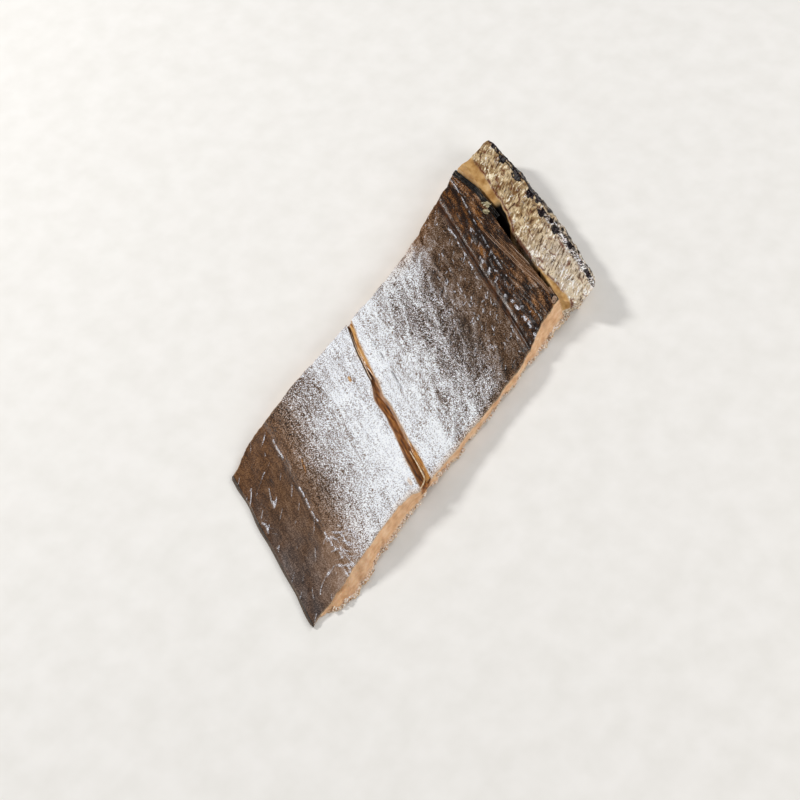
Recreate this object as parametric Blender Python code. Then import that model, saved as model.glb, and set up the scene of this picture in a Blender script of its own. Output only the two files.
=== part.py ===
"""One piece of dried eel: a fish opened flat, dried, and cut across on the slant, skin side up.

The piece lies along X, with its thin end at -X and its fin end at +X. +Y is its left side, +Z is up, and
the origin is under the middle of its box. Lengths are in metres.

Each point of the solid has three plan values. along is the distance from the thin end, across runs from
-1 at the right side to 1 at the left side, and level runs from 0 underneath to 1 on the skin.
"""

import math

import bmesh
import bpy
import numpy as np

MM = 0.001

# Plan of the piece. A zone is where, along the piece, a change begins and ends.
LENGTH = 159.3 * MM  # thin end to fin end, along one side
HALF_WIDTH = 27.2 * MM
LEAN = 0.60  # lines across the fish shift this far along X for each metre of Y
THIN_END_X = -79.82 * MM  # where the thin end crosses the X axis
SHIFT_Y = -1.6 * MM  # centres the box, which the flare makes wider on the left
THIN_END_BEVEL = 0.3 * MM  # the thin end's skin starts behind its flesh
FIN_END_LEAN = 1.3 * MM  # the fin end runs this much further on the right, and less on the left
FIN_END_BOW = 2.8 * MM  # and further in its middle than at its corners
FIN_END_ROUND = 3.0 * MM  # it swells out halfway up
LEFT_CORNER = 6.0 * MM
RIGHT_CORNER = 8.0 * MM
END_WANDER = 0.5 * MM

# Left side
LEFT_EXTRA = 0.8 * MM
LEFT_TUCK = 2.6 * MM
FLARE = 6.0 * MM  # the left side spreads towards the fin
FLARE_ZONE = (82 * MM, 139 * MM)
RIM_LEFT_TUCK = 1.7 * MM  # the rim is drawn in again
RIM_TUCK_ZONE = (139 * MM, 145 * MM)

# Right side
RIGHT_TUCK = 3.4 * MM  # the right corner of the thin end is drawn in
TUCK_ZONE = (0.0, 13 * MM)
FLESH_EXTRA = 0.4 * MM
FLESH_BULGE = 2.2 * MM  # flesh stands out past the skin near the thin end
FLESH_BULGE_AT = 22 * MM
FLESH_BULGE_REACH = 11 * MM
SKIN_SHORT = 2.2 * MM  # the skin stops short of the flesh there
SKIN_SHORT_ZONE = (47 * MM, 58 * MM)
DARK_SKIN_SHORT = 3.6 * MM  # and again beside the crease
DARK_SKIN_ZONE = (110 * MM, 134 * MM)
RIM_OVERHANG = 3.8 * MM  # the rim leans out over the right side
RIM_START_ZONE = (140 * MM, 148 * MM)
NOTCH = 4.2 * MM
NOTCH_DEPTH = 0.9 * MM
CRAG = 3.0 * MM
CRAG_DEPTH = 0.33 * MM

# Thickness
THICKNESS = 6.7 * MM
THIN_END_THICKNESS = 0.7 * MM
TAPER_ZONE = (-6 * MM, 40 * MM)  # the thin end is already part of the way up this slope
FLAT_ZONE = (0.0, 16 * MM)  # the thin end is too thin for waves and bands, which grow along here
SWELL = 0.9 * MM  # the right side is thicker here
SWELL_ZONES = ((6 * MM, 24 * MM), (48 * MM, 66 * MM))
THINNING = 0.8 * MM  # and thinner here
THINNING_ZONES = ((60 * MM, 75 * MM), (118 * MM, 136 * MM))
EDGE_ROUND = 0.5 * MM
CURL = 2.4 * MM  # the left fin corner has curled up
CURL_ZONE = (95 * MM, 140 * MM)
CURL_UNDER = 0.5  # share of the curl that the underside follows
WAVE = 24 * MM
WAVE_HEIGHT = 0.45 * MM
PUCKER = 5 * MM
PUCKER_HEIGHT = 0.12 * MM

# Slit through the skin, fold in it, and the banded skin beyond the fold
SLIT = 60.4 * MM
SLIT_LEAN = 3.4 * MM  # the slit runs this much further on at the left, and less at the right
SLIT_WIDTH = 1.6 * MM
SLIT_DEPTH = 1.1 * MM
SLIT_WANDER = 0.5 * MM
FOLD = 121.5 * MM
FOLD_LEAN = 1.2 * MM  # and so does the fold
FOLD_WIDTH = 1.5 * MM
FOLD_DEPTH = 0.9 * MM
BANDED_ZONES = ((123.5 * MM, 128.5 * MM), (133.5 * MM, 137.5 * MM))
BANDED_SIZE = 3.2 * MM
BANDED_HEIGHT = 0.4 * MM

# Crease between the skin and the rim, and the rim with its bony beads
CREASE = 140.3 * MM
CREASE_WIDTH = 3.6 * MM
CREASE_BACK = 2.0 * MM  # the crease turns back towards the thin end at the left side
CREASE_TURN = 2.6 * MM  # and turns further back at the left corner
CREASE_TURN_ZONE = (0.60, 1.05)
CREASE_FLOOR = 2.0 * MM
CREASE_LIP = 1.0 * MM
CREASE_LIP_ZONE = (127.5 * MM, 137.5 * MM)
CREASE_CLOSES = (-0.86, -0.68)  # it ends between these places across
CREASE_FILL = 0.72  # share of its depth that is filled at the left, where the fin skin lies in it
CREASE_FILL_ZONE = (0.30, 0.70)
RIM_HEIGHT = 7.8 * MM
RIM_LEFT_RISE = 1.0 * MM
RIM_INNER_DROP = 1.6 * MM
RIM_INNER_ZONE = (141.5 * MM, 148.5 * MM)
RIM_OUTER_DROP = 1.2 * MM
RIM_OUTER_ZONE = (153 * MM, 160 * MM)
RIM_BEAD = 3.0 * MM
RIM_BEAD_HEIGHT = 0.8 * MM

# Underside
SPINE_GROOVE = 1.3 * MM
SPINE_GROOVE_WIDTH = 5.0 * MM
BAND = 11 * MM  # the muscle bands run across the piece
BAND_DEPTH = 0.35 * MM
UNDER_WAVE = 14 * MM
UNDER_WAVE_HEIGHT = 0.5 * MM
UNDER_EDGE = 0.7 * MM  # the long edges lift a little off the ground

# Mesh
ROWS = 24  # across the piece
WALL_ROWS = 3  # up the sides
COARSE_STEP = 2.7 * MM
FINE_STEP = 0.75 * MM
FINE_REACH = (1.5 * MM, 6.0 * MM)  # columns stand closer together this near to a feature
RIM_STEP = 1.5 * MM


def smooth(value, start, end):
    """0 before start, 1 after end, and an even S between them."""
    part = np.clip((value - start) / (end - start), 0.0, 1.0)
    return part * part * (3.0 - 2.0 * part)


def between(value, zones):
    """1 between two zones, rising in the first and falling in the second."""
    rising, falling = zones
    return smooth(value, *rising) * (1.0 - smooth(value, *falling))


def hump(value, middle, width):
    """1 at the middle, falling away to nothing about two widths from it."""
    return np.exp(-(((value - middle) / width) ** 2))


def lattice(i, j, seed):
    """A repeatable number from -1 to 1 for each pair of whole numbers."""
    wave = np.sin(i * 127.1 + j * 311.7 + seed * 74.7) * 43758.5453
    return 2.0 * (wave - np.floor(wave)) - 1.0


def lumps(x, y, size, seed):
    """Smooth unevenness from -1 to 1, in lumps of the given size."""
    i = np.floor(x / size)
    j = np.floor(y / size)
    u = smooth(x / size - i, 0.0, 1.0)
    v = smooth(y / size - j, 0.0, 1.0)
    near = lattice(i, j, seed) * (1.0 - u) + lattice(i + 1, j, seed) * u
    far = lattice(i, j + 1, seed) * (1.0 - u) + lattice(i + 1, j + 1, seed) * u
    return near * (1.0 - v) + far * v


def crags(along, level, seed):
    """Roughness of a cut side, whose fibres run along it."""
    return CRAG_DEPTH * lumps(along, level * 4 * MM, CRAG, seed)


def corner(along, radius, end):
    """How far a rounded corner of the fin end draws in its side."""
    into = np.clip(along - (end - radius), 0.0, radius)
    return radius - np.sqrt(radius**2 - into**2)


def left_side(along, level):
    tuck = LEFT_TUCK * (1.0 - smooth(along, *TUCK_ZONE))
    flare = FLARE * smooth(along, *FLARE_ZONE) ** 1.3 - RIM_LEFT_TUCK * smooth(along, *RIM_TUCK_ZONE)
    rounding = corner(along, LEFT_CORNER, LENGTH - FIN_END_LEAN)
    return HALF_WIDTH + LEFT_EXTRA - tuck + flare + crags(along, level, seed=3) - rounding


def right_side(along, level):
    """The right side is the fresher cut: flesh stands out below the skin, with a ragged lower edge."""
    flesh = FLESH_EXTRA + FLESH_BULGE * hump(along, FLESH_BULGE_AT, FLESH_BULGE_REACH)
    flesh = flesh - RIGHT_TUCK * (1.0 - smooth(along, *TUCK_ZONE))
    flesh = flesh - NOTCH_DEPTH * np.clip(lumps(along, 0.0, NOTCH, seed=8) - 0.25, 0.0, 1.0)
    skin = -SKIN_SHORT * (1.0 - smooth(along, *SKIN_SHORT_ZONE))
    skin = skin - DARK_SKIN_SHORT * between(along, (DARK_SKIN_ZONE, RIM_START_ZONE))
    skin = skin + RIM_OVERHANG * smooth(along, *RIM_START_ZONE)
    reach = flesh * (1.0 - level) + skin * level
    rounding = corner(along, RIGHT_CORNER, LENGTH + FIN_END_LEAN)
    return -HALF_WIDTH - reach - crags(along, level, seed=5) + rounding


def curl(along, across):
    return CURL * smooth(along, *CURL_ZONE) * smooth(across, -0.1, 1.0)


def slab_height(along, across, y):
    """Height of the skin, with its slit and its fold, from the thin end to the crease."""
    right = smooth(-across, 0.1, 1.0)
    right_edge = smooth(-across, 0.55, 1.0)
    height = THIN_END_THICKNESS + (THICKNESS - THIN_END_THICKNESS) * smooth(along, *TAPER_ZONE)
    height = height + SWELL * right * between(along, SWELL_ZONES)
    height = height - THINNING * right_edge * between(along, THINNING_ZONES)
    relief = WAVE_HEIGHT * lumps(along, y, WAVE, seed=1)
    relief = relief + PUCKER_HEIGHT * lumps(along, y, PUCKER, seed=2)
    relief = relief - EDGE_ROUND * np.abs(across) ** 8
    height = height + relief * smooth(along, *FLAT_ZONE)
    slit_line = SLIT + SLIT_LEAN * across + SLIT_WANDER * lumps(0.0, y, 9 * MM, seed=4)
    height = height - SLIT_DEPTH * hump(along, slit_line, SLIT_WIDTH)
    height = height - FOLD_DEPTH * hump(along, FOLD + FOLD_LEAN * across, FOLD_WIDTH)
    bands = lumps(along, y * 0.15, BANDED_SIZE, seed=6)
    height = height + BANDED_HEIGHT * bands * between(along, BANDED_ZONES)
    return height + CREASE_LIP * smooth(along, *CREASE_LIP_ZONE)


def rim_height(along, across, y):
    height = RIM_HEIGHT + RIM_LEFT_RISE * smooth(across, 0.1, 0.9)
    height = height + RIM_BEAD_HEIGHT * lumps(along, y, RIM_BEAD, seed=7)
    height = height - RIM_INNER_DROP * (1.0 - smooth(along, *RIM_INNER_ZONE))
    return height - RIM_OUTER_DROP * smooth(along, *RIM_OUTER_ZONE)


def skin_height(along, across, y):
    """Height of the whole upper face. The crease is widest in its middle and closes near the right side."""
    middle = CREASE - CREASE_BACK * smooth(across, 0.1, 1.0)
    middle = middle - CREASE_TURN * smooth(across, *CREASE_TURN_ZONE)
    width = CREASE_WIDTH * (0.45 + 0.55 * hump(across, 0.05, 0.65))
    past_crease = smooth(along, middle - 0.2 * MM, middle + 0.8 * MM)
    height = slab_height(along, across, y) * (1.0 - past_crease)
    height = height + rim_height(along, across, y) * past_crease
    inside = 1.0 - smooth(np.abs(along - middle) / width, 0.30, 0.62)
    inside = inside * smooth(across, *CREASE_CLOSES)
    inside = inside * (1.0 - CREASE_FILL * smooth(across, *CREASE_FILL_ZONE))
    height = height + (CREASE_FLOOR - height) * inside
    return height + curl(along, across)


def under_height(along, across, y):
    """The underside rests on its high spots, which are flat, with shallow bands and a groove between."""
    height = BAND_DEPTH * np.sin(2.0 * math.pi * along / BAND)
    height = height + SPINE_GROOVE * hump(along, SLIT, SPINE_GROOVE_WIDTH)
    height = height + UNDER_WAVE_HEIGHT * lumps(along, y, UNDER_WAVE, seed=9)
    height = height + UNDER_EDGE * np.abs(across) ** 10
    height = np.clip(height, 0.0, None) * smooth(along, *FLAT_ZONE)
    return height + CURL_UNDER * curl(along, across)


def place(share, across, level):
    """X, Y and Z of points, from their share of the length, their place across and their level."""
    start = THIN_END_BEVEL * level
    end = LENGTH - FIN_END_LEAN * across + FIN_END_BOW * (1.0 - across**2)
    end = end - FIN_END_ROUND * (2.0 * level - 1.0) ** 2
    along = start + (end - start) * share + END_WANDER * lumps(0.0, across, 0.3, seed=11)
    right = right_side(along, level)
    left = left_side(along, level)
    y = right + (left - right) * (across + 1.0) / 2.0
    top = skin_height(along, across, y)
    bottom = under_height(along, across, y)
    x = THIN_END_X + along + LEAN * y
    return x, y + SHIFT_Y, bottom + (top - bottom) * level


def column_shares():
    """Shares of the length, closer together near the slit, the fold, the crease and the rim."""
    slit = (SLIT - SLIT_LEAN, SLIT, SLIT + SLIT_LEAN)
    crease = (CREASE - CREASE_BACK - CREASE_TURN, CREASE - CREASE_BACK, CREASE, CREASE + CREASE_WIDTH / 2.0)
    fold = (FOLD - FOLD_LEAN, FOLD + FOLD_LEAN)
    features = slit + fold + crease
    places = [0.0]
    while places[-1] < LENGTH:
        nearest = min(abs(places[-1] - feature) for feature in features)
        step = FINE_STEP + (COARSE_STEP - FINE_STEP) * float(smooth(nearest, *FINE_REACH))
        if places[-1] > CREASE:
            step = min(step, RIM_STEP)
        places.append(places[-1] + step)
    return np.array(places) / places[-1]


def clear_scene():
    for obj in list(bpy.data.objects):
        bpy.data.objects.remove(obj, do_unlink=True)


def unit_slab(shares):
    """A closed slab of quads: column shares in X, -1 to 1 in Y and 0 to 1 in Z."""
    slab = bmesh.new()
    bmesh.ops.create_grid(slab, x_segments=len(shares) - 1, y_segments=ROWS, size=1.0)
    for vert in slab.verts:
        index = round((vert.co.x + 1.0) / 2.0 * (len(shares) - 1))
        vert.co.x = shares[index]
    upper = bmesh.ops.extrude_face_region(slab, geom=slab.faces[:], use_keep_orig=True)
    raised = [item for item in upper["geom"] if isinstance(item, bmesh.types.BMVert)]
    bmesh.ops.translate(slab, verts=raised, vec=(0.0, 0.0, 1.0))
    upright = [edge for edge in slab.edges if abs(edge.verts[0].co.z - edge.verts[1].co.z) > 0.5]
    bmesh.ops.subdivide_edges(slab, edges=upright, cuts=WALL_ROWS - 1)
    bmesh.ops.recalc_face_normals(slab, faces=slab.faces[:])
    return slab


def skin_material():
    material = bpy.data.materials.new("dried_skin")
    material.use_nodes = True
    shader = material.node_tree.nodes["Principled BSDF"]
    shader.inputs["Base Color"].default_value = (0.36, 0.32, 0.28, 1.0)
    shader.inputs["Roughness"].default_value = 0.38
    shader.inputs["Metallic"].default_value = 0.15
    return material


def dried_eel():
    slab = unit_slab(column_shares())
    plan = np.array([vert.co[:] for vert in slab.verts])
    x, y, z = place(plan[:, 0], plan[:, 1], plan[:, 2])
    for vert, point in zip(slab.verts, zip(x, y, z)):
        vert.co = point
    mesh = bpy.data.meshes.new("dried_eel")
    slab.to_mesh(mesh)
    slab.free()
    mesh.shade_smooth()
    mesh.set_sharp_from_angle(angle=math.radians(50))
    mesh.materials.append(skin_material())
    eel = bpy.data.objects.new("dried_eel", mesh)
    bpy.context.scene.collection.objects.link(eel)
    return eel


clear_scene()
dried_eel()
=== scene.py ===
"""The looks of one piece of dried eel, skin side up: silver skin over tan flesh, with a slit, a fold, a
crease and a raised bony rim along the fin.

The first half repeats the plan of the solid, so that every piece lies on it, and adds the fine relief.
The second half makes the pieces, their materials, the floor, the light and the camera. Lengths on the
piece are in millimetres until a mesh is made. along is the distance from the thin end, across runs from
-1 at the right side to 1 at the left side, and level runs from 0 underneath to 1 on top.
"""

import math

import bpy
import numpy as np
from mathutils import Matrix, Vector


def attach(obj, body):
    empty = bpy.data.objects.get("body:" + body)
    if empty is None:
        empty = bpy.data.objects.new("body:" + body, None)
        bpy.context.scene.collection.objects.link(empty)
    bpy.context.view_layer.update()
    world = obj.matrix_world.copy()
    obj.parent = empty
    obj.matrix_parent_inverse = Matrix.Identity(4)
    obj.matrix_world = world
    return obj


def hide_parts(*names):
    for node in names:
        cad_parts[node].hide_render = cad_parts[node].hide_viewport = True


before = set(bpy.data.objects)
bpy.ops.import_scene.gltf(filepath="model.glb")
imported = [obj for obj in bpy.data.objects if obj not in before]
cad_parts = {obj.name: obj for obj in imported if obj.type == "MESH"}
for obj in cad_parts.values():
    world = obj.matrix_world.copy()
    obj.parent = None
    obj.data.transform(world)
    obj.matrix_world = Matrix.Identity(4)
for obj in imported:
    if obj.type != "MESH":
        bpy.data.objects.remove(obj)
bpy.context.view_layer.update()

MM = 0.001  # metres

# ---------------- plan of the solid

LENGTH = 159.3
HALF_WIDTH = 27.2
LEAN = 0.6
THIN_END_X = -79.82
SHIFT_Y = -1.6
THIN_END_BEVEL = 0.3
FIN_END_LEAN = 1.3
FIN_END_BOW = 2.8
FIN_END_ROUND = 3
LEFT_CORNER = 6
RIGHT_CORNER = 8
END_WANDER = 0.5

LEFT_EXTRA = 0.8
LEFT_TUCK = 2.6
FLARE = 6
FLARE_ZONE = (82, 139)
RIM_LEFT_TUCK = 1.7
RIM_TUCK_ZONE = (139, 145)

RIGHT_TUCK = 3.4
TUCK_ZONE = (0, 13)
FLESH_EXTRA = 0.4
FLESH_BULGE = 2.2
FLESH_BULGE_AT = 22
FLESH_BULGE_REACH = 11
SKIN_SHORT = 2.2
SKIN_SHORT_ZONE = (47, 58)
DARK_SKIN_SHORT = 3.6
DARK_SKIN_ZONE = (110, 134)
RIM_OVERHANG = 3.8
RIM_START_ZONE = (140, 148)
NOTCH = 4.2
NOTCH_DEPTH = 0.9
CRAG = 3
CRAG_DEPTH = 0.33

THICKNESS = 6.7
THIN_END_THICKNESS = 0.7
TAPER_ZONE = (-6, 40)
FLAT_ZONE = (0, 16)
SWELL = 0.9
SWELL_ZONES = (6, 24, 48, 66)
THINNING = 0.8
THINNING_ZONES = (60, 75, 118, 136)
EDGE_ROUND = 0.5
CURL = 2.4
CURL_ZONE = (95, 140)
CURL_UNDER = 0.5
WAVE = 24
WAVE_HEIGHT = 0.45
PUCKER = 5
PUCKER_HEIGHT = 0.12

SLIT = 60.4
SLIT_LEAN = 3.4
FOLD = 121.5
FOLD_LEAN = 1.2
FOLD_WIDTH = 1.5
FOLD_DEPTH = 0.9
BANDED_ZONES = (123.5, 128.5, 133.5, 137.5)
BANDED_SIZE = 3.2
BANDED_HEIGHT = 0.4

CREASE = 140.3
CREASE_WIDTH = 3.6
CREASE_BACK = 2
CREASE_TURN = 2.6
CREASE_TURN_ZONE = (0.6, 1.05)
CREASE_FLOOR = 2
CREASE_LIP = 1
CREASE_LIP_ZONE = (127.5, 137.5)
CREASE_CLOSES = (-0.86, -0.68)
CREASE_FILL = 0.72
CREASE_FILL_ZONE = (0.3, 0.7)
RIM_HEIGHT = 7.8
RIM_LEFT_RISE = 1
RIM_INNER_DROP = 1.6
RIM_INNER_ZONE = (141.5, 148.5)
RIM_OUTER_DROP = 1.2
RIM_OUTER_ZONE = (153, 160)

SPINE_GROOVE = 1.3
SPINE_GROOVE_WIDTH = 5
BAND = 11
BAND_DEPTH = 0.35
UNDER_WAVE = 14
UNDER_WAVE_HEIGHT = 0.5
UNDER_EDGE = 0.7

# ---------------- finer sizes, for the looks alone

SKIN_COVER = 0.32  # how far the skin stands above the flesh
SKIN_THICKNESS = 0.6  # the rest of it is sunk in the flesh
SKIN_OVERHANG = 0.12
SLIT_FLOOR = 0.8  # depth of the slit below the skin
FILM = 0.3  # thickness of the films and the lip in it
SLIT_HALF_WIDTHS = (2.65, 1.9, 1.15)  # at the right side, the middle and the left side
JOIN = 140.9  # the flesh ends and the rim begins here, at the bottom of the crease
JOIN_OVERLAP = 1.4
FACET = 2.4  # the rim's inner face is this much wider at the left side
RIGHT_BAND = 2.2  # and a smooth band at the right end is this wide
RIGHT_BAND_ZONE = (-0.45, -0.85)
BEAD_SPACING = 3.3
BEAD_HEIGHT = 0.45
PATCHES = (  # black fin skin along the rim's outer edge: along, y and radius
    (154.6, 28.9, 1), (155.4, 26.6, 0.8), (154.4, 23, 1.5), (156.7, 17.9, 1), (156.2, 15.6, 2),
    (156.8, 8, 1.9), (158.1, 4.8, 1.1), (156.2, 0.4, 1.9), (157.7, -3.9, 1.1), (156.5, -7.1, 1.7),
    (158.3, -14.7, 1.7), (156.9, -26, 1.6),
)
WRINKLE_ANGLE = math.radians(25)  # the short wrinkles' direction, from X
PUCKER_ANGLE = math.radians(41)  # and that of the broad ones past the slit
CRUMBS = 230  # how many in all
SLIT_CRUMBS = 3  # and how many of them lie beside the slit
CRUMB_REACH = (8, 148)  # the others lie from here on, over this length
STREAK_STRETCH = 0.14  # grain along the fish is this much coarser than across it
FRONT_LINE = 18.4  # the pinched line in the thin part of the skin
SIDE_LINE = 110.6  # the shallow fold in the brown part
SCRATCH = 68.8  # the hairline scratch past the slit
CURL_AT = (138.2, -22.9)  # the fibres draw together in a curl here, along and y
ROW = 1000  # noise for a line along y comes from rows this far apart
SIDES_APART = 300  # and noise for the two cut sides from places this far each way
SHARP = math.radians(55)  # an edge between faces that turn more than this isn't smoothed


def smooth(value, start, end):
    """0 at start, 1 at end, and an even S between them. start may be the larger of the two."""
    part = np.clip((value - start) / (end - start), 0, 1)
    return part * part * (3 - 2 * part)


def between(value, rise, risen, fall, fallen):
    """1 from risen to fall, and 0 before rise and after fallen."""
    return smooth(value, rise, risen) * smooth(value, fallen, fall)


def hump(value, middle, width):
    """1 at the middle, falling away to nothing about two widths from it."""
    return np.exp(-(((value - middle) / width) ** 2))


def lattice(i, j, seed):
    """A repeatable number from -1 to 1 for each pair of whole numbers."""
    wave = np.sin(i * 127.1 + j * 311.7 + seed * 74.7) * 43758.5453
    return 2 * (wave - np.floor(wave)) - 1


def lumps(x, y, size, seed):
    """Smooth unevenness from -1 to 1, in lumps of the given size."""
    i = np.floor(x / size)
    j = np.floor(y / size)
    u = smooth(x / size - i, 0, 1)
    v = smooth(y / size - j, 0, 1)
    near = lattice(i, j, seed) * (1 - u) + lattice(i + 1, j, seed) * u
    far = lattice(i, j + 1, seed) * (1 - u) + lattice(i + 1, j + 1, seed) * u
    return near * (1 - v) + far * v


def grain(x, y, size, seed):
    """Gradient noise from about -1 to 1, rounder and less blocky than lumps."""
    x = x / size
    y = y / size
    i = np.floor(x)
    j = np.floor(y)
    total = 0
    for di in (0, 1):
        for dj in (0, 1):
            angle = math.pi * lattice(i + di, j + dj, seed)
            dx = x - i - di
            dy = y - j - dj
            weight = smooth(np.abs(dx), 1, 0) * smooth(np.abs(dy), 1, 0)
            total = total + weight * (np.cos(angle) * dx + np.sin(angle) * dy)
    return 1.6 * total


def rough(x, y, size, seed):
    """Three sizes of grain on top of each other."""
    total = 0
    for octave in range(3):
        total += grain(x, y, size / 2**octave, seed + 17 * octave) / 2**octave
    return total


def crests(value, sharpness=1):
    """Turns noise into ridges along the lines where it crosses zero."""
    return (1 - np.minimum(np.abs(value) * sharpness, 1)) ** 2


def crags(along, level, seed):
    return CRAG_DEPTH * lumps(along, level * 4, CRAG, seed)


def corner(along, radius, end):
    into = np.clip(along - (end - radius), 0, radius)
    return radius - np.sqrt(radius**2 - into**2)


def left_side(along, level):
    tuck = LEFT_TUCK * (1 - smooth(along, *TUCK_ZONE))
    flare = FLARE * smooth(along, *FLARE_ZONE) ** 1.3 - RIM_LEFT_TUCK * smooth(along, *RIM_TUCK_ZONE)
    rounding = corner(along, LEFT_CORNER, LENGTH - FIN_END_LEAN)
    return HALF_WIDTH + LEFT_EXTRA - tuck + flare + crags(along, level, 3) - rounding


def right_side(along, level):
    flesh = FLESH_EXTRA + FLESH_BULGE * hump(along, FLESH_BULGE_AT, FLESH_BULGE_REACH)
    flesh -= RIGHT_TUCK * (1 - smooth(along, *TUCK_ZONE))
    flesh -= NOTCH_DEPTH * np.clip(lumps(along, 0, NOTCH, 8) - 0.25, 0, 1)
    skin = -SKIN_SHORT * (1 - smooth(along, *SKIN_SHORT_ZONE))
    skin -= DARK_SKIN_SHORT * between(along, *DARK_SKIN_ZONE, *RIM_START_ZONE)
    skin += RIM_OVERHANG * smooth(along, *RIM_START_ZONE)
    reach = flesh * (1 - level) + skin * level
    rounding = corner(along, RIGHT_CORNER, LENGTH + FIN_END_LEAN)
    return -HALF_WIDTH - reach - crags(along, level, 5) + rounding


def curl(along, across):
    return CURL * smooth(along, *CURL_ZONE) * smooth(across, -0.1, 1)


def slit_line(y):
    """Where the slit's middle lies, as a distance from the thin end."""
    across = y / HALF_WIDTH
    line = SLIT + SLIT_LEAN * across + 0.2 * grain(y, 0, 6, 4)
    line -= hump(y, 2, 3.4)
    return line + 1.4 * smooth(across, 0.6, 1) + 0.6 * smooth(-across, 0.45, 1)


def slit_half_width(y):
    right, middle, left = SLIT_HALF_WIDTHS
    across = y / HALF_WIDTH
    width = middle + (right - middle) * smooth(-across, 0.3, 0.85)
    width += (left - middle) * smooth(across, 0.12, 0.3)
    return width * (1 + 0.08 * grain(y, 3 * ROW, 2.5, 12))


def slit_start(y):
    return slit_line(y) - slit_half_width(y)


def slit_end(y):
    return slit_line(y) + slit_half_width(y)


def fold_line(across):
    return FOLD + FOLD_LEAN * across


def slab_height(along, across, y):
    """Height of the skin, from the thin end to the crease, without the slit."""
    right = smooth(-across, 0.1, 1)
    right_edge = smooth(-across, 0.55, 1)
    height = THIN_END_THICKNESS + (THICKNESS - THIN_END_THICKNESS) * smooth(along, *TAPER_ZONE)
    height += SWELL * right * between(along, *SWELL_ZONES)
    height -= THINNING * right_edge * between(along, *THINNING_ZONES)
    relief = WAVE_HEIGHT * lumps(along, y, WAVE, 1)
    relief += PUCKER_HEIGHT * lumps(along, y, PUCKER, 2)
    relief -= EDGE_ROUND * np.abs(across) ** 8
    height += relief * smooth(along, *FLAT_ZONE)
    height -= FOLD_DEPTH * hump(along, fold_line(across), FOLD_WIDTH)
    bands = lumps(along, y * 0.15, BANDED_SIZE, 6)
    height += BANDED_HEIGHT * bands * between(along, *BANDED_ZONES)
    return height + CREASE_LIP * smooth(along, *CREASE_LIP_ZONE)


def rim_height(along, across):
    height = RIM_HEIGHT + RIM_LEFT_RISE * smooth(across, 0.1, 0.9)
    height -= RIM_INNER_DROP * (1 - smooth(along, *RIM_INNER_ZONE))
    return height - RIM_OUTER_DROP * smooth(along, *RIM_OUTER_ZONE)


def crease_middle(across):
    return CREASE - CREASE_BACK * smooth(across, 0.1, 1) - CREASE_TURN * smooth(across, *CREASE_TURN_ZONE)


def crease_width(across):
    return CREASE_WIDTH * (0.45 + 0.55 * hump(across, 0.05, 0.65))


def top_height(along, across, y, rim_relief=0):
    """Height of the whole upper face. The crease is widest in its middle and closes near the right side."""
    middle = crease_middle(across)
    past_crease = smooth(along, middle - 0.2, middle + 0.8)
    height = slab_height(along, across, y) * (1 - past_crease)
    height += (rim_height(along, across) + rim_relief) * past_crease
    inside = smooth(np.abs(along - middle) / crease_width(across), 0.62, 0.3)
    inside *= smooth(across, *CREASE_CLOSES)
    inside *= 1 - CREASE_FILL * smooth(across, *CREASE_FILL_ZONE)
    height += (CREASE_FLOOR - height) * inside
    return height + curl(along, across)


def under_height(along, across, y):
    height = BAND_DEPTH * np.sin(2 * math.pi * along / BAND)
    height += SPINE_GROOVE * hump(along, SLIT, SPINE_GROOVE_WIDTH)
    height += UNDER_WAVE_HEIGHT * lumps(along, y, UNDER_WAVE, 9)
    height += UNDER_EDGE * np.abs(across) ** 10
    height = np.clip(height, 0, None) * smooth(along, *FLAT_ZONE)
    return height + CURL_UNDER * curl(along, across)


def end_wander(across):
    return END_WANDER * lumps(0, across, 0.3, 11)


def fin_end(across, level):
    end = LENGTH - FIN_END_LEAN * across + FIN_END_BOW * (1 - across**2)
    return end - FIN_END_ROUND * (2 * level - 1) ** 2


def plan_y(along, across, level):
    right = right_side(along, level)
    return right + (left_side(along, level) - right) * (across + 1) / 2


def at(along, y, z):
    """Row frame position of a plan point, in mm."""
    return np.stack([THIN_END_X + along + LEAN * y, y + SHIFT_Y, z], axis=-1)


# ---------------- fine relief


def streaks(along, y, size, seed):
    """Noise drawn out along the fish, where along stays the same."""
    warp = 0.8 * grain(along, y, 9, seed + 5)
    return grain(along + warp, y * STREAK_STRETCH, size, seed)


def slant(along, y, size, seed, stretch=0.16, turn=WRINKLE_ANGLE):
    """Noise drawn out at an angle to the fish, as the short wrinkles are."""
    x = along + LEAN * y
    run = x * math.cos(turn) + y * math.sin(turn)
    side = y * math.cos(turn) - x * math.sin(turn)
    side += 0.8 * grain(run, side, 8, seed + 3)
    return grain(run * stretch, side, size, seed)


def found(x, y, size, seed, above, spread=0.18):
    """1 in scattered places, about size across, and 0 between them."""
    return smooth(grain(x, y, size, seed), above, above + spread)


def skin_ridges(along, across, y):
    """Sharp little ridges of the skin, from 0 to 1: sparse and long near the thin end, crowded further on.
    The skin's material paints a highlight on their crests.
    """
    front = smooth(along, 22, 15)
    silver = between(along, 20, 27, 92, 104)
    brown = smooth(along, 92, 102) * smooth(along - fold_line(across), -1.2, -2.2)
    total = front * crests(slant(along, y, 2.6, 34), 8) * found(along, y, 3.6, 46, 0.04)
    total += 0.4 * silver * crests(slant(along, y, 1.9, 35), 7) * found(along, y, 3, 47, 0.15)
    total += brown * crests(slant(along, y, 1.3, 36, stretch=0.3), 4.6) * found(along, y, 2.2, 48, 0.08)
    total += front_ridge(along, y) + side_ridge(along, y) + net_ridges(along, y) + edge_ladder(along, y)
    total += banded_ridges(along, across, y) + before_fold(along, across, y)
    return np.clip(total, 0, 1)


def front_line(y):
    """The pinched line in the thin part of the skin."""
    return FRONT_LINE + 0.5 * grain(y, ROW, 7, 41) + smooth(y, -15, -19)


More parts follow.
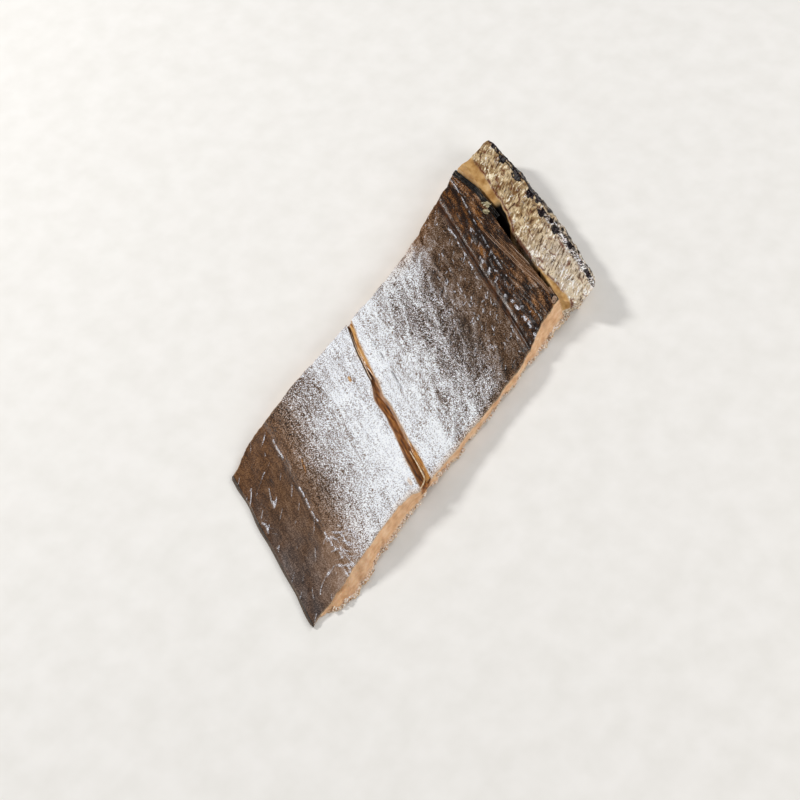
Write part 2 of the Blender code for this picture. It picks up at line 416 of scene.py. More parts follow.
def front_ridge(along, y):
    return line_reach(y) * hump(along, front_line(y), 0.27) * (0.22 + found(y, 5 * ROW, 1.9, 42, -0.12))


def line_reach(y):
    """How far the pinched line runs across the skin."""
    return between(y, -26, -24, 20, 23)


def side_line(y):
    """A shallow fold in the brown part of the skin, short of the main one."""
    return SIDE_LINE + 0.13 * y + 0.5 * grain(y, 2 * ROW, 7, 43)


def side_ridge(along, y):
    return between(y, -22, -16, 19, 24) * hump(along, side_line(y) - 1.3, 0.3) * found(y, 9 * ROW, 1.9, 45, 0)


def net_ridges(along, y):
    """A patch near the right side where the skin is gathered into a net of short wrinkles."""
    patch = smooth(hump(along, 22, 6) * hump(y, -20, 8), 0.25, 0.55)
    x = along + LEAN * y
    cross = (x * 0.87 + y * 0.49) / 0.36 + 3 * grain(along, y, 3.2, 44)
    other = (x * 0.95 - y * 0.3) / 0.52 + 3 * grain(along, y, 3.6, 49)
    net = smooth(np.maximum(np.sin(cross), np.sin(other)), 0.6, 0.95)
    return patch * net * (0.5 + 0.5 * found(along, y, 2.6, 64, -0.15))


def edge_ladder(along, y):
    """Short wrinkles, one above the other, that run in from the thin end."""
    reach = hump(along, 3.8, 2.4) * between(y, -4, 0, 12, 17)
    x = along + LEAN * y
    wave = (x * 0.98 + y * 0.21) / 0.26 + 2 * grain(along, y, 2.6, 65)
    return 0.45 * reach * smooth(np.sin(wave), 0.4, 0.9) * found(along, y, 2.4, 66, -0.1)


def before_fold(along, across, y):
    """A chain of glossy crumples on the near side of the fold, at the left."""
    line = fold_line(across) - 2 - 1.4 * smooth(-y, -14, 0) + 0.5 * grain(y, 6 * ROW, 2, 67)
    return between(y, 1, 5, 20, 25) * hump(along, line, 0.42) * found(y, 7 * ROW, 1.5, 68, 0)


def banded_ridges(along, across, y):
    """Past the fold: a chain of crumples, a long ridge, and fibres that draw together at the crease's end."""
    past = along - fold_line(across)
    chain = 2.4 + 1.9 * smooth(-across, 0.35, 0.7) + 0.4 * grain(y, 8 * ROW, 2.2, 39)
    chain = hump(past, chain, 0.6) * smooth(across, 0.25, 0.05) * found(y, 3 * ROW, 1.3, 69, -0.1)
    ridge = hump(past, ridge_line(across), 0.28) * smooth(across, -0.35, -0.1)
    ridge *= found(y, 2 * ROW, 2, 70, -0.2)
    crumples = crests(slant(along, y, 1.5, 98, stretch=0.45), 3) * found(along, y, 1.7, 99, 0.08)
    crumples *= between(past, 1.5, 3, 7.5, 9) * smooth(across, 0.6, 0.35)
    threads = fibres(along, across, y) * found(along, y * 0.3, 1.6, 100, 0.15)
    return chain + 0.8 * ridge + crumples + 0.35 * threads


def ridge_line(across):
    """The long ridge past the fold, as a distance from the fold."""
    return 7.9 + 1.3 * smooth(across, 0, 0.9)


def fibres(along, across, y):
    """Long fibres between the ridge and the crease, aslant to both."""
    past = along - fold_line(across)
    near = smooth(past, ridge_line(across) - 0.2, ridge_line(across) + 1.2)
    aslant = along + 0.18 * y + 0.3 * grain(along, y, 6, 103)
    return near * crests(grain(aslant, y * 0.05, 1.1, 37), 1.6)


def puckers(along, y):
    """Broad wrinkles in the skin past the slit, from about -0.4 between them to 0.6 on them."""
    ridges = crests(slant(along, y, 4.2, 113, stretch=0.25, turn=PUCKER_ANGLE), 2.2)
    return (ridges - 0.35) * between(along, 64, 80, 104, 114)


def skin_relief(along, across, y):
    """Everything on the skin that is finer than the solid: grain, streaks, ridges and shallow folds."""
    thin = smooth(along, 26, 16)
    past = along - fold_line(across)
    banded = smooth(past, 0.5, 2.5)
    smooth_strip = 1 - 0.9 * hump(past, -0.2, 1.4)
    relief = 0.045 * (1 - 0.6 * thin) * grain(along, y, 0.8, 31) + 0.05 * streaks(along, y, 1, 32)
    relief += 0.07 * streaks(along, y, 2.8, 33) + 0.07 * slant(along, y, 1.1, 105, stretch=0.3)
    relief += 0.5 * puckers(along, y) + 0.06 * slant(along, y, 2.6, 104, stretch=0.3)
    relief *= 1 - 0.85 * thin
    relief += banded * 0.16 * grain(along, y * 0.7, 1.5, 38) * smooth(past, 9, 7)
    relief += 0.2 * fibres(along, across, y) + 0.22 * skin_ridges(along, across, y)
    relief = relief * smooth_strip - 0.15 * hump(along, side_line(y), 0.7) * smooth(y, -14, -4)
    step = between(along - front_line(y), -0.3, 1.4, 2, 8)
    return np.clip(relief + 0.16 * step, -0.24, None)


def side_relief(along, high, level):
    """How far a cut side stands out: soft fibres, and crumbs towards its lower edge."""
    fibres = 0.07 * grain(along * 0.45, high, 0.8, 51)
    soft = 0.16 * grain(along, high, 3, 52) + 0.06 * grain(along, high, 1.1, 55)
    lower = smooth(level, 0.36, 0)
    teeth = 0.42 * grain(along, high * 0.5, 1, 53) + 0.45 * grain(along, 0, 3.1, 54)
    return fibres + soft + lower * teeth


def under_relief(along, y):
    """Muscle fibres along the fish, and the blocks that they lie in."""
    fibres = 0.1 * streaks(along, y, 0.9, 61) + 0.12 * streaks(along, y, 2.2, 62)
    blocks = 0.24 * crests(grain(along + 0.7 * np.abs(y), y * 0.5, 6, 63), 3)
    return np.clip(0.15 + fibres - blocks, 0, None)


def rim_edge(across, y):
    """Where the rim's face begins, past the crease, as a distance from the thin end."""
    return JOIN + 0.9 + FACET * smooth(across, -0.05, 0.3) + 0.45 * grain(y, 0, 2.6, 74)


def rough_line(across, y):
    """Where the rim's rough part begins. A smooth golden band lies before it at the right end."""
    return rim_edge(across, y) + RIGHT_BAND * smooth(across, *RIGHT_BAND_ZONE)


def rim_relief(along, across, y):
    """Short spines that run out across the rim, with pits and lumps between them, and a row of bony beads."""
    rough_part = smooth(along - rough_line(across, y), -0.3, 0.9)
    relief = 0.38 * rim_spines(along, y) + 0.04 * grain(along, y, 0.7, 72)
    relief += 0.16 * grain(along * 0.4, y, 1.9, 77) - 0.3 * rim_cracks(along, across, y)
    relief += 0.4 * grain(along, y, 3.9, 73) + bead_row(along, across, y)
    return relief * rough_part + 0.3 * hump(along, rough_line(across, y) + 0.6, 0.7)


def rim_spines(along, y):
    """Fine spines across the rim, from 0 to 1, in sheaves. The rim's material paints a white highlight on
    them.
    """
    turned = y - 0.22 * along + 0.6 * grain(along, y, 4.5, 106)
    spines = crests(grain(along * 0.14, turned, 1.3, 71), 2.4)
    return spines * (0.25 + 0.75 * found(along * 0.7, y, 3, 107, -0.1, 0.3))


def rim_cracks(along, across, y):
    """Thin reddish lines: along the rough part's inner edge, and a few short ones further out."""
    edge = hump(along - rough_line(across, y), 0.3, 0.34) * found(along, y, 2.2, 96, -0.25)
    lines = crests(grain(along, y * 0.6, 2.8, 108), 3.6) * found(along, y, 2.6, 97, 0.2)
    return np.clip(edge + lines * smooth(along - rough_line(across, y), 0, 1), 0, 1)


def bead_row(along, across, y):
    """A broken row of round bony beads, near the outer edge."""
    cell = np.floor(y / BEAD_SPACING)
    middle_y = (cell + 0.5) * BEAD_SPACING + 0.3 * lattice(cell, 1, 75)
    middle_along = fin_end(across, 1) - 4.6 + 0.8 * lattice(cell, 2, 75)
    away = np.sqrt((along - middle_along) ** 2 + (y - middle_y) ** 2) / (0.46 * BEAD_SPACING)
    strength = np.clip(0.55 + 0.6 * lattice(cell, 3, 75), 0, 1)
    return BEAD_HEIGHT * strength * np.sqrt(np.clip(1 - away**2, 0, 1))


def fin_skin(along, across, y):
    """The black fin skin left on the rim, from 0 to 1: a torn line at the outer edge, and patches by it."""
    inwards = fin_end(across, 1) - along + 0.3 * grain(along, y, 1.3, 78)
    line = hump(inwards, 0.1, 0.38 + 0.2 * smooth(across, 0.4, 0.6)) * found(y, 4 * ROW, 3, 79, -0.35)
    inner_line = hump(inwards, 1.5, 0.42) * between(across, 0.3, 0.5, 0.88, 0.95)
    away = 9
    for patch_along, patch_y, radius in PATCHES:
        from_patch = np.sqrt(((along - patch_along) / 1.2) ** 2 + (y - patch_y) ** 2)
        away = np.minimum(away, from_patch / radius)
    away += 0.45 * grain(along, y, 1.2, 90)
    return np.clip(line + inner_line + smooth(away, 1, 0.85), 0, 1)


def mottle_and_painted_glints(along, across, y):
    """The strip of black fin skin inside the outer edge, from 0 to 1, with painted blue-grey and white glints
    mixed into it.
    """
    inwards = fin_end(across, 1) - along + 0.5 * grain(along, y, 1.6, 92)
    return between(inwards, 0.1, 0.6, 2.6, 3.8) * smooth(-across, -0.15, 0.2)


# ---------------- meshes


def slab_plan(columns, rows, walls):
    """Plan values and faces of a closed slab: one grid on top, one underneath, and walls between them."""
    share, across = np.meshgrid(np.linspace(0, 1, columns + 1), np.linspace(-1, 1, rows + 1), indexing="ij")
    index = np.arange(share.size).reshape(share.shape)
    quads = np.stack([index[:-1, :-1], index[1:, :-1], index[1:, 1:], index[:-1, 1:]], axis=-1).reshape(-1, 4)
    border = np.concatenate([index[:-1, 0], index[-1, :-1], index[:0:-1, -1], index[0, :0:-1]])
    share = share.ravel()
    across = across.ravel()
    count = share.size
    rings = [border]
    values = [(share, across, np.zeros(count)), (share, across, np.ones(count))]
    for step in range(1, walls):
        rings.append(2 * count + (step - 1) * len(border) + np.arange(len(border)))
        values.append((share[border], across[border], np.full(len(border), step / walls)))
    rings.append(border + count)
    faces = [quads[:, ::-1], quads + count]
    for lower, upper in zip(rings[:-1], rings[1:]):
        faces.append(np.stack([lower, np.roll(lower, -1), np.roll(upper, -1), upper], axis=-1))
    plan = [np.concatenate(column) for column in zip(*values)]
    return plan, np.concatenate(faces)


def in_scene(name, data):
    obj = bpy.data.objects.new(name, data)
    bpy.context.scene.collection.objects.link(obj)
    return obj


def piece(name, points, faces, attributes, material, slot):
    """A piece from points and faces, with named numbers on its points for its material to read."""
    mesh = bpy.data.meshes.new(name)
    mesh.from_pydata((points * MM).tolist(), [], faces.tolist())
    mesh.validate()
    for key, numbers in attributes.items():
        layer = mesh.attributes.new(key, "FLOAT", "POINT")
        layer.data.foreach_set("value", np.asarray(numbers, np.float32))
    mesh.shade_smooth()
    mesh.set_sharp_from_angle(angle=SHARP)
    mesh.materials.append(material)
    obj = in_scene(name, mesh)
    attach(obj, "root")
    return obj


def wall_push(along, across, level, depth):
    """Outward move of a cut side in Y, on the points of the two long sides alone."""
    side = (across >= 1).astype(float) - (across <= -1).astype(float)
    push = side_relief(along + SIDES_APART * across, level * depth, level)
    return side * push * (1 - 0.6 * smooth(level, 0.85, 1))


# ---------------- skin


def skin_tone(along, across, y):
    """How pale the skin is, from 0 for black to 1 for white, with painted light and shade on the puckers and
    beside the pinched line. It is palest beside the slit.
    """
    front_half = 32.5 + 6 * smooth(across, 0.3, 0.7) - 12 * smooth(-across, 0.1, 0.8)
    back_half = 94 + smooth(across, 0, 0.3) + 13 * smooth(across, 0.35, 0.95)
    back_half += 3 * smooth(-across, 0.5, 0.9) - 5 * hump(across, -0.35, 0.3)
    uneven = 2.5 * grain(along, y * 0.5, 14, 81) + 2.5 * streaks(along, y, 6, 82)
    uneven += 2.5 * slant(along, y, 3.4, 109, stretch=0.25)
    front = 0.225 + 0.635 * smooth(along - front_half + uneven, -17, 17)
    back = 0.86 - 0.63 * smooth(along - back_half - uneven, -24, 14)
    tone = np.where(along < SLIT, front, back)
    tone += 0.1 * hump(along, 50, 6) * smooth(-y, -10, 4) + 0.09 * hump(along, 67, 6) * smooth(-y, 2, 12)
    drawn_out = 0.12 * streaks(along, y, 1.2, 83) + 0.1 * streaks(along, y, 4.5, 84)
    tone += drawn_out * (0.35 + 0.95 * between(along, 18, 40, 84, 98))
    # painted light and shade: paler on the puckers' ridges, darker between them
    tone += 0.32 * puckers(along, y) - 0.1 * smooth(-across, 0.78, 1) * smooth(along, 40, 52)
    tone -= 0.13 * hump(along, 81, 6) * hump(across, 0.62, 0.22) + 0.14 * hump(along, 23, 5) * hump(y, -19, 8)
    # painted shadow just before the pinched line
    tone -= 0.09 * hump(along, front_line(y) - 0.9, 0.5) * line_reach(y)
    tone += 0.1 * slant(along, y, 1.4, 119, stretch=0.3) * smooth(along, 84, 98)
    past_fold = along - fold_line(across)
    tone += 0.21 * fibres(along, across, y) - 0.12 * smooth(past_fold, -3, 4)
    tone += 0.28 * grain(along, y * 0.3, 1.7, 115) * smooth(past_fold, 1, 4)
    return tone - 0.12 * hump(across, 0, 0.35) * smooth(past_fold, 4, 7) - 0.11 * hump(past_fold, -0.1, 1)


def skin_pepper(along, across, y):
    """How strongly the skin is speckled."""
    past_line = along - front_line(y)
    pepper = 0.2 + 0.15 * smooth(past_line, -2, 2) + 0.65 * smooth(past_line, 0, 11)
    pepper += 0.25 * hump(along, 88, 9) - 0.6 * smooth(along, 98, 110) - 0.3 * hump(along, 57, 19)
    return np.clip(pepper * (1 - 0.85 * hump(along - fold_line(across), -0.2, 1.5)), 0, 1.3)


def spot(along, y, middle, width, length):
    """An amber mark, as drawn out as the fish."""
    away = ((along - middle[0]) / width) ** 2 + ((y - middle[1]) / length) ** 2
    return smooth(away + 0.5 * grain(along, y, 0.8, 94), 1.2, 0.6)


def skin_amber(along, across, y):
    """Where the skin is stained amber: by the slit, in the fold, before the crease and in small marks."""
    from_slit = np.abs(along - slit_line(y)) - slit_half_width(y)
    amber = (0.35 + 0.4 * smooth(across, -0.2, 0.5)) * smooth(from_slit, 0.5, 0.1)
    amber += 0.25 * smooth(from_slit, 2, 0.3) * found(y, 8 * ROW, 4, 95, 0.1)
    amber += spot(along, y, (53.9, 14.5), 0.55, 1.2)
    amber += 0.8 * spot(along, y, (23.2 + 0.25 * (y - 7.5), 7.5), 0.4, 2.4)
    past_fold = along - fold_line(across)
    amber += 0.45 * spot(along, y, (52.8, -23), 0.8, 1.3) + 0.95 * hump(past_fold, -0.1, 1.3)
    patches = 0.68 + 0.2 * smooth(across, 0.15, 0.5) + 0.5 * grain(along, y * 0.8, 4.2, 85)
    amber += smooth(past_fold, 0.5, 3) * (patches - 0.3 * fibres(along, across, y))
    amber += 0.45 * smooth(across, 0.8, 1) * smooth(along, 78, 108)
    amber += 0.35 * smooth(-across, 0.93, 1) * smooth(along, 30, 50)
    amber += (0.28 + 0.25 * smooth(across, 0.1, 0.9)) * smooth(along, 38, 16)
    return np.clip(amber, 0, 1)


def skin_dark(along, across, y):
    """Lines of near black: the thin end's edge and hairline scratches, and painted shade along the slit's
    front edge, beside the long ridge, in thin creases past the fold and where the skin runs down into the
    crease.
    """
    dark = 0.85 * smooth(along - THIN_END_BEVEL, 0.45, 0.1)
    scratch = hump(along, SCRATCH + 0.04 * y + 0.4 * grain(y, 0, 5, 86), 0.24)
    dark += 0.8 * scratch * found(y, 7 * ROW, 5, 87, -0.1) * between(y, -6, -4, 15, 17)
    # painted shade along the slit's front edge, at the left
    dark += 0.9 * smooth(np.abs(along - slit_start(y)), 0.4, 0.15) * smooth(across, 0.05, 0.3)
    # painted shadow beside the long ridge
    dark += 0.5 * hump(along, ridge_line(across) + fold_line(across) - 0.8, 0.5)
    # painted shade in thin creases past the fold
    painted_crease_shade = crests(grain(along, y * 0.12, 2, 116), 3.6) * found(along, y * 0.3, 2.4, 117, -0.3)
    dark += 0.85 * painted_crease_shade * smooth(along - fold_line(across), 0.5, 2)
    # painted shade where the skin runs down into the crease
    past_crease = along - crease_middle(across)
    dark += 0.55 * smooth(past_crease, -2.8, -1.6) * between(across, -0.95, -0.7, 0.3, 0.5)
    dark += smooth(past_crease, -1.3, -0.5) * smooth(across, -0.9, -0.66)
    return np.clip(dark, 0, 1)


def skin_cool(along, across, y):
    """Where the brown skin turns blue-grey: beside the thin end."""
    reach = 0.4 * hump(along, 3, 3) * smooth(y, 22, 12) + 0.55 * smooth(along, 19, 10) * smooth(y, 8, -8)
    return np.clip(reach * (0.75 + 0.5 * grain(along, y, 3.5, 110)), 0, 1)


def skin_gloss(along, across, y):
    """Where the skin shines: past the silver part, but for the fold, and a little near the thin end."""
    gloss = smooth(along, 92, 112) * (1 - 0.5 * hump(along - fold_line(across), 2.4, 0.8))
    return gloss + 0.25 * smooth(along, 34, 18)


SKIN_NUMBERS = {  # what the skin's material reads, each a function of along, across and y
    # pigment, with painted light and shade on the puckers and by the pinched line
    "tone": skin_tone,
    "amber": skin_amber,
    # near-black marks, and painted shade by the slit, the long ridge, thin creases and the crease
    "dark": skin_dark,
    "pepper": skin_pepper,
    "cool": skin_cool,
    # painted highlight: the material paints the sharp ridges' crests pale
    "painted_glint": skin_ridges,
    "gloss": skin_gloss,
}


def skin_piece(name, material, reach, columns, rows, sides=(-1, 1), lift=0, thickness=SKIN_THICKNESS):
    """A sheet of skin. reach gives where it starts and ends along the piece, for each place across."""
    (share, unit, level), faces = slab_plan(columns, rows, 2)
    across = sides[0] + (sides[1] - sides[0]) * (unit + 1) / 2
    start, end = reach(across, across * HALF_WIDTH)
    along = start + (end - start) * share
    along += end_wander(across) * smooth(along, 50, 10)
    y = plan_y(along, across, 1)
    ragged = 0.12 * grain(along, 0, 1.3, 88)
    y += across * np.abs(across) ** 30 * (SKIN_OVERHANG + ragged)
    top = top_height(along, across, y) + skin_relief(along, across, y) + lift
    border = np.minimum(np.minimum(share, 1 - share) * (end - start), (1 - np.abs(unit)) * HALF_WIDTH)
    top += 0.08 * hump(border, 0.4, 0.3) - 0.14 * smooth(border, 0.35, 0)
    z = top - thickness * (1 - level)
    attributes = {key: number(along, across, y) for key, number in SKIN_NUMBERS.items()}
    attributes["cut_edge"] = smooth(border, 0.12, 0)
    piece(name, at(along, y, z), faces, attributes, material, "eel_skin")


def front_reach(across, y):
    return THIN_END_BEVEL * np.ones_like(across), slit_start(y)


def back_reach(across, y):
    return slit_end(y), crease_middle(across) + 0.1


def left_film_reach(across, y):
    """The translucent film that covers the slit's back part, near the left side."""
    end = slit_end(y) + 0.15
    return end - 1.45 * (1 - 0.75 * smooth(across, 0.5, 0.22)), end


def left_lip_reach(across, y):
    """A narrow strip of pale skin inside the slit, near the left side."""
    start = slit_start(y) + 0.42
    return start, start + 0.15 + 0.5 * hump(across, 0.55, 0.22)


def right_film_reach(across, y):
    """The translucent film in the same part of the slit near the right side, where the slit is widest."""
    end = slit_end(y) + 0.15
    return end - 0.3 - 2.1 * smooth(-across, 0.42, 0.8), end


# ---------------- flesh and rim


def tucked_in(bottom, top, y, hidden):
    """The bottom, the top and y of a piece, a little smaller where it is hidden inside its neighbour."""
    return bottom + 0.6 * hidden, top - 0.6 * hidden, y * (1 - 0.02 * hidden)


def flesh_piece(material):
    """The flesh under the skin, from the thin end to the bottom of the crease."""
    (share, across, level), faces = slab_plan(420, 80, 20)
    start = THIN_END_BEVEL * level
    along = start + (JOIN + JOIN_OVERLAP - start) * share + end_wander(across) * smooth(share, 0.95, 0.8)
    y = plan_y(along, across, level)
    y += wall_push(along, across, level, top_height(along, across, y)) * smooth(along, 0.5, 4)
    from_crease = along - crease_middle(across)
    top = top_height(along, across, y) - SKIN_COVER * smooth(from_crease, 0.2, -0.6)
    slit = smooth(np.abs(along - slit_line(y)), slit_half_width(y) * 1.25, slit_half_width(y) * 0.6)
    top += slit * (0.16 * streaks(along, y, 0.7, 91) - SLIT_FLOOR)
    top -= 0.02 * smooth(along, JOIN - 0.9, JOIN - 0.5)
    bottom = under_height(along, across, y) + under_relief(along, y) * smooth(along, *FLAT_ZONE)
    bottom, top, y = tucked_in(bottom, top, y, smooth(along, JOIN + 0.3, JOIN + 1))
    z = bottom + (top - bottom) * level
    left_part = smooth(across, 0.34, 0.44)
    # Painted shade: the crease is coloured near black, and so is a line inside the slit along its front edge.
    crease = smooth(from_crease, -2, -0.8) * (1 - left_part * smooth(from_crease, 0, 0.35))
    painted_slit_edge_shade = hump(along, slit_start(y) + 0.15, 0.32) * smooth(across, 0.05, 0.3)
    attributes = {
        "slit": slit * (level > 0.5),
        "char": smooth(along, 3, 0.8),
        "crease": np.maximum(crease * smooth(across, *CREASE_CLOSES), painted_slit_edge_shade) * (level > 0.9),
        "facet": left_part * smooth(from_crease, -0.2, 0.3) * (level > 0.5),
        "lower": smooth(level, 0.34, 0.04) * (np.abs(across) > 0.999),
        "under": (level < 0.02).astype(float),
        "spine": hump(along, SLIT, 4.5) * (level < 0.02),
    }
    flesh = piece("eel_flesh", at(along, y, z), faces, attributes, material, "eel_flesh")
    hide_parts("dried_eel")


def rim_piece(material):
    """The bony rim along the fin, from the bottom of the crease to the torn fin skin."""
    (share, across, level), faces = slab_plan(96, 250, 26)
    start = JOIN - JOIN_OVERLAP
    along = start + (fin_end(across, level) - start) * share + end_wander(across) * smooth(share, 0.05, 0.3)
    y = plan_y(along, across, level)
    relief = rim_relief(along, across, y)
    outer_wall = (share >= 1).astype(float)
    depth = top_height(along, across, y)
    y += wall_push(along, across, level, depth)
    along += outer_wall * 0.5 * rough(y, level * depth, 2.4, 76)
    fin = fin_skin(along, across, y)
    top = top_height(along, across, y, relief * (1 - 0.6 * fin) - 0.12 * fin)
    bottom = under_height(along, across, y) + under_relief(along, y)
    bottom, top, y = tucked_in(bottom, top, y, smooth(along, JOIN - 0.5, JOIN - 1))
    z = bottom + (top - bottom) * level
    wall_skin = smooth(grain(y, level * depth, 1.5, 93) + 1.2 * (level - 0.45), -0.1, 0.15)
    bare = smooth(level, 0.72, 0.8) * found(y, level * depth, 1.6, 114, -0.25) * smooth(-y, -4, 4)
    wall_skin *= 1 - bare
    # Painted shade: the rim's wall down into the crease is coloured near black.
    crease = smooth(along - rim_edge(across, y), -0.2, -0.6) * smooth(across, 0.44, 0.34)
    rough_part = smooth(along - rough_line(across, y), -0.4, 0.2)
    face = level > 0.5
    attributes = {
        "fin": np.where(outer_wall > 0, wall_skin, fin * face),
        "rough": rough_part * face + ~face,
        "stain": rim_cracks(along, across, y) * face,
        # black fin skin strip, with painted blue-grey and white glints in it
        "mottle_and_painted_glints": mottle_and_painted_glints(along, across, y) * face,
        # painted highlight on the spines' crests
        "painted_glint": rim_spines(along, y) * rough_part * face,
        "pale": smooth(-across, -0.1, 0.5),
        "crease": crease * smooth(across, *CREASE_CLOSES) * (level > 0.9),
    }
    piece("fin_rim", at(along, y, z), faces, attributes, material, "eel_flesh")


# ---------------- small parts


def closed_rings(rings, first, last):
    """Points and triangles of a closed round shape: rings of points, and a point that closes each end."""
    count, sides = rings.shape[:2]
    points = np.concatenate([rings.reshape(-1, 3), [first], [last]])
    index = np.arange(count * sides).reshape(count, sides)
    around = np.roll(index, -1, axis=1)
    quads = np.stack([index[:-1], around[:-1], around[1:], index[1:]], axis=-1).reshape(-1, 4)
    start_fan = np.stack([around[0], index[0], np.full(sides, count * sides)], axis=-1)
    end_fan = np.stack([index[-1], around[-1], np.full(sides, count * sides + 1)], axis=-1)
    return points, np.concatenate([quads[:, [0, 1, 2]], quads[:, [0, 2, 3]], start_fan, end_fan])


def cord_mesh(path, radii, sides=8):
    """A closed round cord along a path."""
    ahead = np.gradient(path, axis=0)
    ahead = ahead / np.linalg.norm(ahead, axis=1, keepdims=True)
    outwards = np.cross(ahead, (0, 0, 1))
    outwards = outwards / np.linalg.norm(outwards, axis=1, keepdims=True)
    up = np.cross(outwards, ahead)
    turn = np.arange(sides) / sides * 2 * math.pi
    spokes = np.cos(turn)[None, :, None] * outwards[:, None, :] - np.sin(turn)[None, :, None] * up[:, None, :]
    rings = path[:, None, :] + radii[:, None, None] * spokes
    return closed_rings(rings, path[0], path[-1])


def blob_mesh(middle, radii, seed, rings, sides, roughness):
    """A small irregular lump."""
    tilt = np.linspace(math.pi, 0, rings + 2)[1:-1]
    turn = np.arange(sides) / sides * 2 * math.pi
    tilt, turn = np.meshgrid(tilt, turn, indexing="ij")
    shape = np.stack([np.sin(tilt) * np.cos(turn), np.sin(tilt) * np.sin(turn), np.cos(tilt)], axis=-1)
    uneven = grain(shape[..., 0] + seed * 3.7, shape[..., 1] + shape[..., 2] * 0.7, 0.8, seed)
    points = middle + shape * (1 + roughness * uneven[..., None]) * np.asarray(radii)
    pole = np.array((0, 0, radii[2]))
    return closed_rings(points, middle - pole, middle + pole)


def merged(parts):
    """One set of points and faces from several."""
    starts = np.cumsum([0] + [len(points) for points, _ in parts[:-1]])
    faces = [part_faces + start for start, (_, part_faces) in zip(starts, parts)]
    return np.concatenate([points for points, _ in parts]), np.concatenate(faces)


def above_skin(along, y, lift):
    """Places above the solid's upper face, or below it."""
    return at(along, y, top_height(along, across_of(along, y), y) + lift)


def above_slab(along, across, y, lift):
    """Places above the skin, as if the crease weren't there."""
    return at(along, y, slab_height(along, across, y) + curl(along, across) + lift)


def fin_membrane(material):
    """The black fin membrane folded along the skin's edge, at the left."""
    across = np.linspace(0.995, 0.22, 90)
    fade = smooth(across, 0.22, 0.5)
    cords = []
    for number, (back, lift, radius) in enumerate(((2, 0.02, 0.4), (1.2, 0.1, 0.44), (0.4, 0, 0.42))):
        along = crease_middle(across) - back + 0.7 * (1 - fade) - 0.22 * grain(across, number, 0.09, 101)
        path = above_slab(along, across, plan_y(along, across, 1), lift - 0.35 * (1 - fade))
        uneven = 1 + 0.25 * grain(across, number, 0.05, 102)
        cords.append(cord_mesh(path, radius * (0.35 + 0.65 * fade) * uneven, 10))
    piece("fin_membrane", *merged(cords), {}, material, "eel_fin")


def skin_fibres(material):
    """Dry fibres on the dark skin, aslant to the crease, which draw together in a curl at its right end."""
    cords = []
    tones = []
    ends = np.sqrt(np.clip(1 - np.linspace(-1, 1, 70) ** 4, 0.02, 1))
    curl_along, curl_y = CURL_AT
    for number in range(10):
        y = np.linspace(14 - 1.6 * number + 3 * lattice(number, 0, 111), -20 - 0.25 * number, 70)
        along = 133.6 + 0.52 * number - 0.18 * y + 0.18 * grain(y, number * ROW, 3, 112)
        along += (curl_along + 0.1 * number - along) * 0.8 * smooth(-y, 6, 24)
        path = above_skin(along, y, skin_relief(along, across_of(along, y), y) + 0.02)
        cords.append(cord_mesh(path, 0.14 * ends, 6))
        tones.append(np.full(len(cords[-1][0]), 0.42 + 0.2 * lattice(number, 2, 111)))
    turn = np.linspace(0, 3.4 * math.pi, 60)
    radius = 1 - 0.2 * turn / math.pi + 0.25 * np.sin(2.3 * turn)
    along = curl_along + 1.1 * radius * np.cos(turn)
    path = above_skin(along, curl_y + 0.8 * radius * np.sin(turn), 0.1 + 0.06 * turn)
    cords.append(cord_mesh(path, 0.34 * np.linspace(0.8, 0.6, 60), 8))
    tones.append(np.full(len(cords[-1][0]), 0.55))
    points, faces = merged(cords)
    amber = np.full(len(points), 0.42)
    attributes = {"tone": np.concatenate(tones), "amber": amber, "pepper": 0.4 * amber, "gloss": amber * 2}
    piece("skin_fibres", points, faces, attributes, material, "eel_skin")


def slit_strand(material):
    """A strand of skin looped round the slit's right end."""
    step = np.linspace(0, 1, 70)
    swell = np.sin(step * math.pi)
    y = -16.8 - 10 * np.sin(step * math.pi / 2 * 1.1)
    along = slit_line(y) + (0.15 - 1.25 * smooth(step, 0.62, 1)) * slit_half_width(y)
    cord = cord_mesh(above_skin(along, y, 0.08 + 0.18 * swell), 0.26 * (0.7 + 0.3 * swell))
    piece("slit_strand", *cord, {}, material, "eel_skin")


def across_of(along, y):
    right = right_side(along, 1)
    return 2 * (y - right) / (left_side(along, 1) - right) - 1


def crease_nodules(material):
    """Two dried lumps at the crease."""
    blobs = []
    for along, y, length, width, seed in ((138.2, 17.4, 1.6, 1.25, 1), (136.5, 15.6, 1.1, 0.95, 3)):
        middle = above_slab(along, across_of(along, y), y, 0.15)
        blobs.append(blob_mesh(middle, (width, length, 0.7), seed, 14, 20, 0.45))
    piece("crease_nodules", *merged(blobs), {}, material, "eel_flesh")


def crumbs(material):
    """Crumbs of flesh that cling to the lower edges of the cut sides, and a few by the slit."""
    parts = []
    for number in range(CRUMBS):
        where, high, deep, big = (0.5 + 0.5 * lattice(number, column, 121) for column in range(4))
        along = CRUMB_REACH[0] + CRUMB_REACH[1] * where
        radius = 0.2 + 0.5 * big**3
        level = np.float64(0.03 + 0.16 * high)
        across = -1 if number % 5 else 1
        if number < SLIT_CRUMBS:
            across = -1
            along = 64.5 + 2.3 * number
            level = np.float64(0.55 - 0.1 * number)
            radius = 0.75
        y = plan_y(along, across, level) - across * (0.25 - 0.45 * deep)
        bottom = under_height(along, across, y)
        z = max(bottom + (top_height(along, across, y) - bottom) * level, 1.7 * radius)
        size = (radius * (1 + 0.6 * deep), radius, radius * 0.85)
        parts.append(blob_mesh(at(along, y, z), size, number, 6, 9, 0.5))
    points, faces = merged(parts)
    piece("crumbs", points, faces, {"lower": np.ones(len(points))}, material, "eel_flesh")


# ---------------- materials


def srgb(red, green, blue):
    """A colour given as a picture shows it, from 0 to 255, as the shader's light values."""
    values = [channel / 255 for channel in (red, green, blue)]
    linear = [v / 12.92 if v <= 0.04045 else ((v + 0.055) / 1.055) ** 2.4 for v in values]
    return (*linear, 1)


